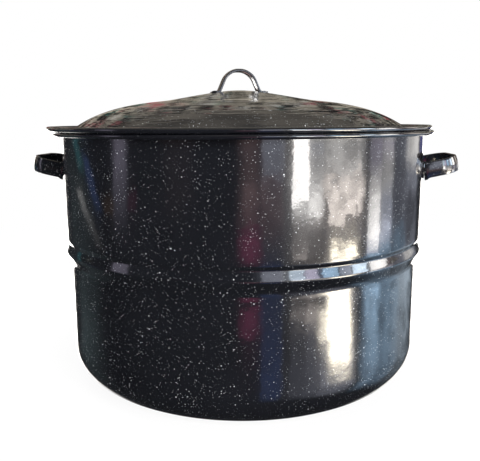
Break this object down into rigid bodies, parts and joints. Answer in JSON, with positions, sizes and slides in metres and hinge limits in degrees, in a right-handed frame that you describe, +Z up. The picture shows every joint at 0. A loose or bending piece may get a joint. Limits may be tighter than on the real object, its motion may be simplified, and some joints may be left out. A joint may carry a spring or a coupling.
{
  "type": "water bath canner",
  "caption": "Tall enamelled pot with a swaged bead, strap handles, a domed lid and a wire jar rack, for boiling-water home canning.",
  "frame": {"origin": "middle of the pot's flat base", "axes": "+Z up through the pot's axis, +X towards the right side handle"},
  "size_m": [0.474, 0.4183, 0.337],
  "materials": {
    "enamel_shell": "gloss, speckled white",
    "enamel_handle": "gloss, speckled white",
    "rack_wire": "bright plated wire"
  },
  "bodies": {
    "pot": {"pot_body": "enamel_shell", "side_handle_left": "enamel_handle", "side_handle_right": "enamel_handle"},
    "rack": {"rack_top_ring": "rack_wire", "rack_base_ring": "rack_wire", "rack_support_ring": "rack_wire", "rack_inner_ring": "rack_wire", "rack_hub_ring": "rack_wire", "rack_divider_1": "rack_wire", "rack_divider_2": "rack_wire", "rack_divider_3": "rack_wire", "rack_divider_4": "rack_wire", "rack_divider_5": "rack_wire", "rack_divider_6": "rack_wire", "rack_divider_7": "rack_wire", "rack_divider_8": "rack_wire", "rack_cross_wire_left": "rack_wire", "rack_cross_wire_right": "rack_wire"},
    "lid": {"lid_shell": "enamel_shell", "lid_handle": "enamel_handle"},
    "rack_handle_left": {"rack_handle_left": "rack_wire"},
    "rack_handle_right": {"rack_handle_right": "rack_wire"}
  },
  "joints": [
    {"name": "rack_lift", "type": "slide", "parent": "pot", "child": "rack", "axis": [0, 0, 1], "range_m": [0, 0.29]},
    {"name": "lid_lift", "type": "slide", "parent": "rack", "child": "lid", "axis": [0, 0, 1], "range_m": [0, 0.25]},
    {"name": "rack_handle_right_swing", "type": "hinge", "parent": "rack", "child": "rack_handle_right", "pos_m": [0.17755, 0, 0.0763], "axis": [0, 1, 0], "range_deg": [0, 80]},
    {"name": "rack_handle_left_swing", "type": "hinge", "parent": "rack", "child": "rack_handle_left", "pos_m": [-0.17755, 0, 0.0763], "axis": [0, -1, 0], "range_deg": [0, 80]}
  ]
}
